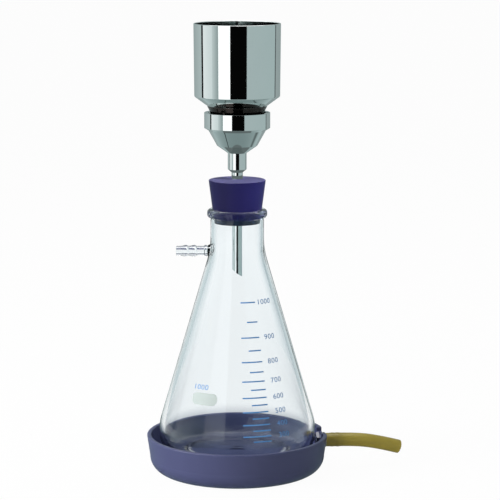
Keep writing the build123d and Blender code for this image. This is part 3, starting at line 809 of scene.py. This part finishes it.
@dataclass
class Flask(Assembly):
    """The glass flask, its scale and the plain numbers beside the long graduations.

    Attributes:
        tall: Height of a digit.
        widen: How much wider than drawn each digit is.
        font_share: Height of a digit as a share of the font's size.
        starts: Degrees right of the front where a number begins, for each count of digits.
        capacity_start: Degrees right of the front where the capacity begins.
        capacity_lift: Height of the capacity's middle above the top of the writing spot.
        letter_spacing: Space between digits as a share of the font's own.
        curve_steps: Steps that each curve of a digit is drawn with.
        merge: Distance within which a digit's corners are joined, in metres.
        print_thickness: Thickness of the enamel.
        first_volume: Volume at the lowest graduation.
        volume_step: Volume between graduations.
        mark_gap: The most that one graduation's corners differ in height.
        marks_left_out: How many of the lowest graduations the cone's slope leaves out.
    """

    finishes = {
        "flask": Glass("clear_glass", grip_level=GRIP_LEVEL),
        "scale_marks": BLUE_PRINT,
        "marking_spot": Enamel("pale_enamel", (0.49, 0.56, 0.54), (0.46, 0.53, 0.51)),
    }
    tall: float = 4.1 * MM
    widen: float = 1.18
    font_share: float = 0.72
    starts: ClassVar[dict[int, float]] = {3: 31.6, 4: 27.8}
    capacity_start: float = -41.0
    capacity_lift: float = 4.6 * MM
    letter_spacing: float = 1.08
    curve_steps: int = 5
    merge: float = 1e-6
    print_thickness: float = 0.1 * MM
    first_volume: int = 250
    volume_step: int = 50
    mark_gap: float = 1.5 * MM
    marks_left_out: int = 4

    def marks(self) -> list[tuple[float, float]]:
        """Return each graduation's level and the glass's radius there, from the lowest up."""
        corners = sorted(
            (vertex.co.z, math.hypot(vertex.co.x, vertex.co.y))
            for vertex in frame["nodes"]["scale_marks"].data.vertices
        )
        groups = [[corners[0]]]
        for corner in corners[1:]:
            if corner[0] - groups[-1][-1][0] < self.mark_gap:
                groups[-1].append(corner)
            else:
                groups.append([corner])
        middles = [[(min(part) + max(part)) / 2 for part in zip(*group)] for group in groups]
        return [(level, radius) for level, radius in middles]

    def print_number(self, number: str, name: str, level: float, angle: float) -> bpy.types.Object:
        """Model one number and lay it on the glass.

        Args:
            number: The digits.
            name: The piece's name.
            level: Level of the digits' middle.
            angle: Degrees right of the front where the number begins.

        Returns:
            The printed number.
        """
        (foot, foot_radius), *_, (top, top_radius) = self.marks()[self.marks_left_out :]
        slope = (foot_radius - top_radius) / (top - foot)
        deselect()
        bpy.ops.object.text_add(location=(0.0, 0.0, 0.0))
        text = bpy.context.object
        text.data.body = number
        text.data.size = self.tall / self.font_share
        text.data.space_character = self.letter_spacing
        text.data.resolution_u = self.curve_steps
        bpy.ops.object.convert(target="MESH")
        piece = bpy.context.object
        piece.name = name
        piece.data.name = name
        bpy.ops.object.mode_set(mode="EDIT")
        bpy.ops.mesh.select_all(action="SELECT")
        bpy.ops.mesh.remove_doubles(threshold=self.merge)
        bpy.ops.mesh.subdivide(number_cuts=1)
        bpy.ops.object.mode_set(mode="OBJECT")
        for vertex in piece.data.vertices:
            height = level + vertex.co.y - self.tall / 2
            radius = top_radius + slope * (top - height)
            turn = math.radians(angle) + self.widen * vertex.co.x / radius
            vertex.co = (radius * math.sin(turn), -radius * math.cos(turn), height)
        solid = piece.modifiers.new("print", "SOLIDIFY")
        solid.thickness = self.print_thickness
        solid.offset = 0.0
        bpy.ops.object.modifier_apply(modifier=solid.name)
        turn_outward(piece)
        settle(piece)
        return piece

    def build(self, paints: Paintbox) -> None:
        """Print every number.

        Args:
            paints: The paintbox.
        """
        levels = [level for level, _ in self.marks()]
        volumes = [self.first_volume + count * self.volume_step for count in range(len(levels))]
        numbers = []
        for volume, level in zip(volumes, levels):
            if volume % (2 * self.volume_step) == 0:
                number = str(volume)
                start = self.starts[len(number)]
                numbers.append(self.print_number(number, f"scale_number_{volume}", level, start))
        capacity = str(volumes[-1])
        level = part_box("marking_spot")[1][2] + self.capacity_lift
        numbers.append(self.print_number(capacity, "capacity_number", level, self.capacity_start))
        for piece in numbers:
            paints.dress(piece, BLUE_PRINT)


class Stopper(Assembly):
    """The conical rubber stopper and the stem through it."""

    finishes = {
        "stopper": Rubber(
            "stopper_rubber",
            colour=(0.0085, 0.0075, 0.05),
            worn=(0.01, 0.009, 0.056),
            # painted highlight on the stopper's top, for the overhead light
            bloom=(0.1, 0.094, 0.225),
            bloom_level=STOPPER_TOP,
            # painted shade on the stopper's lower end, inside the flask's neck
            damp=(0.006, 0.0125, 0.026),
            damp_level=NECK_SHADE_LEVEL,
            roughness=0.45,
            shine=0.12,
        ),
        "stem_tube": BRIGHT,
    }


class SupportBase(Assembly):
    """The turned base with its screen."""

    finishes = {
        "support_base": POLISHED,
        "screen_ring": WHITE_SEAL,
        "support_screen": Steel("screen_steel", tint=(0.62, 0.62, 0.6), polish=0.28, haze=0.1),
    }


class Funnel(Assembly):
    """The funnel: cup, foot, pins and seal."""

    finishes = {
        "funnel_cup": POLISHED,
        # the foot's steel carries painted shade
        "funnel_foot": SHADE_PAINTED_STEEL,
        "lock_pins": BRIGHT,
        "funnel_seal": WHITE_SEAL,
    }


# ---- Studio ----


@dataclass(frozen=True)
class Reflector:
    """An upright curved card that only reflections and refractions show.

    Attributes:
        name: Its name.
        left: Degrees right of the front where it starts.
        right: Degrees right of the front where it ends.
        colour: Its colour at the start.
        to_colour: Its colour at the end.
        seen: Whether it shows in reflections, through the glass or in both.
        distance: Its distance from the unit's axis, in metres.
        low: Its lower edge.
        high: Its upper edge.
        cuts: How many upright cuts let it curve.
    """

    name: str
    left: float
    right: float
    colour: Triple
    to_colour: Triple
    seen: Seen = Seen.IN_BOTH
    distance: float = 0.5
    low: float = 0.02
    high: float = 0.9
    cuts: int = 15

    def build(self) -> None:
        """Build the card."""
        deselect()
        middle = (self.low + self.high) / 2
        bpy.ops.mesh.primitive_plane_add(size=1.0, location=(0.0, 0.0, 0.0))
        card = bpy.context.object
        card.name = self.name
        bpy.ops.object.mode_set(mode="EDIT")
        bpy.ops.mesh.select_all(action="SELECT")
        bpy.ops.mesh.subdivide(number_cuts=self.cuts)
        bpy.ops.object.mode_set(mode="OBJECT")
        layer = card.data.attributes.new("across", "FLOAT", "POINT")
        for vertex in card.data.vertices:
            across = vertex.co.x + 0.5
            turn = math.radians(self.left + across * (self.right - self.left))
            height = middle + vertex.co.y * (self.high - self.low)
            layer.data[vertex.index].value = across
            vertex.co = (self.distance * math.sin(turn), -self.distance * math.cos(turn), height)
        graph = Graph(self.name)
        across = graph.node("ShaderNodeAttribute", {"attribute_name": "across"}, output="Fac")
        shade = graph.mix(across, self.colour, self.to_colour)
        card.data.materials.append(graph.finish(graph.glow(shade)))
        card.visible_glossy = self.seen is not Seen.IN_GLASS
        card.visible_transmission = self.seen is not Seen.IN_STEEL
        for ray in ("camera", "diffuse", "volume_scatter", "shadow"):
            setattr(card, f"visible_{ray}", False)


GREY_TEAL: Triple = (0.42, 0.52, 0.52)
MIST: Triple = (0.44, 0.53, 0.53)
SHADE: Triple = (0.27, 0.33, 0.33)
CLEAR_EDGE: Triple = (0.66, 0.75, 0.77)
LEFT_EDGE: Triple = (0.4, 0.48, 0.5)
DARK_EDGE: Triple = (0.2, 0.27, 0.3)
DUSK_BLUE: Triple = (0.09, 0.1, 0.2)
BRIGHT_WHITE: Triple = (1.35, 1.35, 1.35)
WHITE: Triple = (1.0, 1.0, 1.0)
BLACK: Triple = (0.002, 0.002, 0.002)

REFLECTORS = (
    Reflector("card_back_left", -180.0, -106.5, SHADE, (0.5, 0.58, 0.58), Seen.IN_STEEL),
    Reflector("card_left_line", -106.5, -99.5, BLACK, BLACK, Seen.IN_STEEL),
    Reflector("card_left_pale", -99.5, -68.0, (0.9, 0.95, 0.95), (0.72, 0.8, 0.8)),
    Reflector("card_left_grey", -68.0, -49.5, (0.62, 0.7, 0.7), (0.3, 0.37, 0.37)),
    Reflector("card_white", -49.5, -18.0, BRIGHT_WHITE, BRIGHT_WHITE),
    Reflector("card_black", -18.0, 24.7, BLACK, BLACK),
    Reflector("card_right", 24.7, 116.0, MIST, GREY_TEAL),
    Reflector("card_right_line", 116.0, 121.0, (0.12, 0.14, 0.14), (0.08, 0.1, 0.1), Seen.IN_STEEL),
    Reflector("card_back_right", 121.0, 180.0, (0.36, 0.42, 0.42), SHADE, Seen.IN_STEEL),
    Reflector("card_clear_left", -169.0, -150.0, WHITE, CLEAR_EDGE, Seen.IN_GLASS),
    Reflector("card_dark_left", -150.0, -100.0, CLEAR_EDGE, LEFT_EDGE, Seen.IN_GLASS),
    Reflector("card_clear_right", 150.0, 169.0, CLEAR_EDGE, WHITE, Seen.IN_GLASS),
    Reflector("card_dark_right", 116.0, 150.0, DARK_EDGE, CLEAR_EDGE, Seen.IN_GLASS),
    Reflector(
        "card_far_back", 140.0, 220.0, DUSK_BLUE, DUSK_BLUE, Seen.IN_GLASS,
        distance=2.0, low=0.12, high=1.6,
    ),
)


@dataclass(frozen=True)
class Collar:
    """A flat ring of grey card round the unit's axis that only reflections show.

    Attributes:
        name: Its name.
        inner: Its inner radius, in metres.
        outer: Its outer radius, in metres.
        rise: Its height above the stopper's top, in metres.
        colour: Its colour.
        sides: How many straight edges it has round it.
    """

    name: str
    inner: float
    outer: float
    rise: float
    colour: Triple = (0.14, 0.17, 0.17)
    sides: int = 64

    def build(self) -> None:
        """Build the ring."""
        deselect()
        bpy.ops.mesh.primitive_circle_add(vertices=self.sides, radius=self.outer, location=(0, 0, 0))
        ring = bpy.context.object
        ring.name = self.name
        bpy.ops.object.mode_set(mode="EDIT")
        bpy.ops.mesh.select_all(action="SELECT")
        bpy.ops.mesh.extrude_region_move()
        bpy.ops.transform.resize(value=(self.inner / self.outer,) * 3)
        bpy.ops.object.mode_set(mode="OBJECT")
        for vertex in ring.data.vertices:
            vertex.co.z = STOPPER_TOP + self.rise
        graph = Graph(self.name)
        ring.data.materials.append(graph.finish(graph.glow(self.colour)))
        for ray in ("camera", "diffuse", "transmission", "volume_scatter", "shadow"):
            setattr(ring, f"visible_{ray}", False)


COLLARS = (
    Collar("card_collar", inner=4.4 * MM, outer=25.5 * MM, rise=1.0 * MM),
    Collar("card_shoulder", inner=22.8 * MM, outer=52.0 * MM, rise=-40.0 * MM),
)


WIDE = 180.0        # a beam that isn't narrowed, in degrees


@dataclass(frozen=True)
class SoftLamp:
    """A square lamp; only one with a wide beam shows in reflections.

    Attributes:
        name: Its name.
        place: Where it hangs.
        size: Its side, in metres.
        power: Its power, in watts.
        aim: The point that it faces.
        spread: Width of its beam, in degrees.
    """

    name: str
    place: Triple
    size: float
    power: float
    aim: Triple = (0.0, 0.0, 0.15)
    spread: float = WIDE

    def build(self) -> None:
        """Build the lamp."""
        data = bpy.data.lights.new(self.name, "AREA")
        data.shape = "SQUARE"
        data.size = self.size
        data.energy = self.power
        data.spread = math.radians(self.spread)
        lamp = bpy.data.objects.new(self.name, data)
        bpy.context.scene.collection.objects.link(lamp)
        lamp.location = self.place
        lamp.rotation_euler = (Vector(self.aim) - Vector(self.place)).to_track_quat("-Z", "Y").to_euler()
        lamp.visible_glossy = self.spread == WIDE


@dataclass(frozen=True)
class Floor:
    """A pale floor that keeps the unit's soft shadow.

    The camera and the glass show it nearly white, and the glass shows the part under the unit in shade.
    The steel shows it greyer, with one dark line and one dusky stretch.

    Attributes:
        name: Its name.
        size: Its side, in metres.
        paint: Its own colour, which the lamps light.
        white: Share of its white that doesn't depend on the lamps.
        near: Its colour in the steel, close to the unit.
        near_ends: Distances from the axis between which that colour gives way to the far one.
        line: Bearings of the dark line's sides, in degrees right of the front.
        line_blur: Softness of those sides, in radians.
        dusk: Bearings of the dusky stretch's sides.
        dusk_blur: Softness of those sides, in radians.
        dusk_colour: Its colour.
        dusk_share: How strongly it shows.
        drawn_ends: Distances from the axis between which line and dusk fade out.
        shade: Its colour under the unit, as the glass shows it.
        shade_ends: Distances from the axis between which that shade fades out.
    """

    name: str = "studio_floor"
    size: float = 60.0
    paint: Triple = (0.86, 0.86, 0.86)
    white: float = 0.97
    near: Triple = (0.21, 0.28, 0.28)
    near_ends: tuple[float, float] = (0.1, 0.5)
    line: tuple[float, float] = (-72.0, -68.0)
    line_blur: float = 0.02
    dusk: tuple[float, float] = (100.0, 114.0)
    dusk_blur: float = 0.2
    dusk_colour: Triple = (0.04, 0.05, 0.05)
    dusk_share: float = 0.7
    drawn_ends: tuple[float, float] = (0.4, 0.5)
    shade: Triple = (0.25, 0.27, 0.33)
    shade_ends: tuple[float, float] = (0.14, 0.26)

    def in_steel(self, graph: Graph) -> Value:
        """Return the floor's colour as the steel shows it.

        Args:
            graph: The floor's material.

        Returns:
            The colour.
        """
        away = graph.away()
        bearing = graph.coordinate("X").math("ARCTAN2", -1.0 * graph.coordinate("Y"))
        line = bearing.within(*map(math.radians, self.line), self.line_blur)
        dusk = bearing.within(*map(math.radians, self.dusk), self.dusk_blur)
        drawn = away.ramp(*reversed(self.drawn_ends))
        plain = graph.mix(away.ramp(*self.near_ends), self.near, GREY_TEAL)
        lined = graph.mix(line * drawn, plain, BLACK)
        return graph.mix(dusk * self.dusk_share * drawn, lined, self.dusk_colour)

    def build(self) -> None:
        """Build the floor."""
        deselect()
        bpy.ops.mesh.primitive_plane_add(size=self.size, location=(0.0, 0.0, 0.0))
        floor = bpy.context.object
        floor.name = self.name
        graph = Graph(self.name)
        through = graph.ray("Transmission")
        seen = graph.ray("Camera").math("MAXIMUM", through)
        mirrored = graph.ray("Glossy") * (1.0 - through)
        shade = through * graph.away().ramp(*reversed(self.shade_ends))
        paint = graph.node("ShaderNodeBsdfDiffuse", inputs={"Color": opaque(self.paint)})
        white = graph.glow(graph.mix(shade, WHITE, self.shade))
        plain = graph.blend(seen * self.white, paint, white)
        surface = graph.blend(mirrored, plain, graph.glow(self.in_steel(graph)))
        floor.data.materials.append(graph.finish(surface))


@dataclass
class Studio:
    """The floor, the world, the lamps, the cards and the camera.

    Attributes:
        eye: Where the camera stands.
        aim: The point that it faces.
        lens: Its focal length, in millimetres.
        shift: Its sideways shift.
        ambient: Strength of the world's light.
        lamps: The lamps.
    """

    eye: Triple = (0.0, -1.782, 0.4816)
    aim: Triple = (0.0, 0.0, 0.1878)
    lens: float = 156.36
    shift: float = 0.0256
    ambient: float = 0.22
    lamps: Sequence[SoftLamp] = (
        SoftLamp("key_lamp", (-1.45, -0.65, 0.85), size=0.9, power=31.0),
        SoftLamp("top_lamp", (-0.1, 0.35, 1.6), size=1.2, power=8.0),
        SoftLamp(
            "stopper_lamp", (0.75, -0.5, 0.62), size=0.06, power=0.05, aim=(0.0, 0.0, 0.232), spread=8.0,
        ),
    )

    def build_world(self) -> None:
        """Light the unit evenly, with white behind it."""
        world = bpy.data.worlds.new("studio_world")
        bpy.context.scene.world = world
        world.use_nodes = True
        nodes, links = world.node_tree.nodes, world.node_tree.links
        nodes.clear()
        path = nodes.new("ShaderNodeLightPath")
        seen = path.outputs["Is Camera Ray"]
        for kind in ("Glossy", "Transmission"):
            either = nodes.new("ShaderNodeMath")
            either.operation = "MAXIMUM"
            links.new(seen, either.inputs[0])
            links.new(path.outputs[f"Is {kind} Ray"], either.inputs[1])
            seen = either.outputs[0]
        strength = nodes.new("ShaderNodeMapRange")
        strength.inputs["To Min"].default_value = self.ambient
        strength.inputs["To Max"].default_value = 1.0
        links.new(seen, strength.inputs["Value"])
        sky = nodes.new("ShaderNodeBackground")
        sky.inputs["Color"].default_value = opaque(WHITE)
        links.new(strength.outputs["Result"], sky.inputs["Strength"])
        output = nodes.new("ShaderNodeOutputWorld")
        links.new(sky.outputs[0], output.inputs["Surface"])

    def build_camera(self) -> None:
        """Stand the camera at the front, a little above the unit."""
        data = bpy.data.cameras.new("camera")
        data.lens = self.lens
        data.shift_x = self.shift
        camera = bpy.data.objects.new("camera", data)
        bpy.context.scene.collection.objects.link(camera)
        camera.location = self.eye
        camera.rotation_euler = (Vector(self.aim) - Vector(self.eye)).to_track_quat("-Z", "Y").to_euler()
        bpy.context.scene.camera = camera

    def build(self) -> None:
        """Build the whole studio."""
        self.build_world()
        self.build_camera()
        for fitting in (Floor(), *REFLECTORS, *COLLARS, *self.lamps):
            fitting.build()
        bpy.context.scene.view_settings.view_transform = "Standard"


def main() -> None:
    """Dress the unit, add what the CAD model leaves out and build the studio."""
    logging.basicConfig(level=logging.INFO, format="%(message)s")
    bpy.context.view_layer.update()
    paints = Paintbox()
    for assembly in (Tray(), Outlet(), Hose(), Flask(), Stopper(), SupportBase(), Funnel()):
        assembly.dress(paints)
        assembly.build(paints)
    Studio().build()


if __name__ == "__main__":
    main()
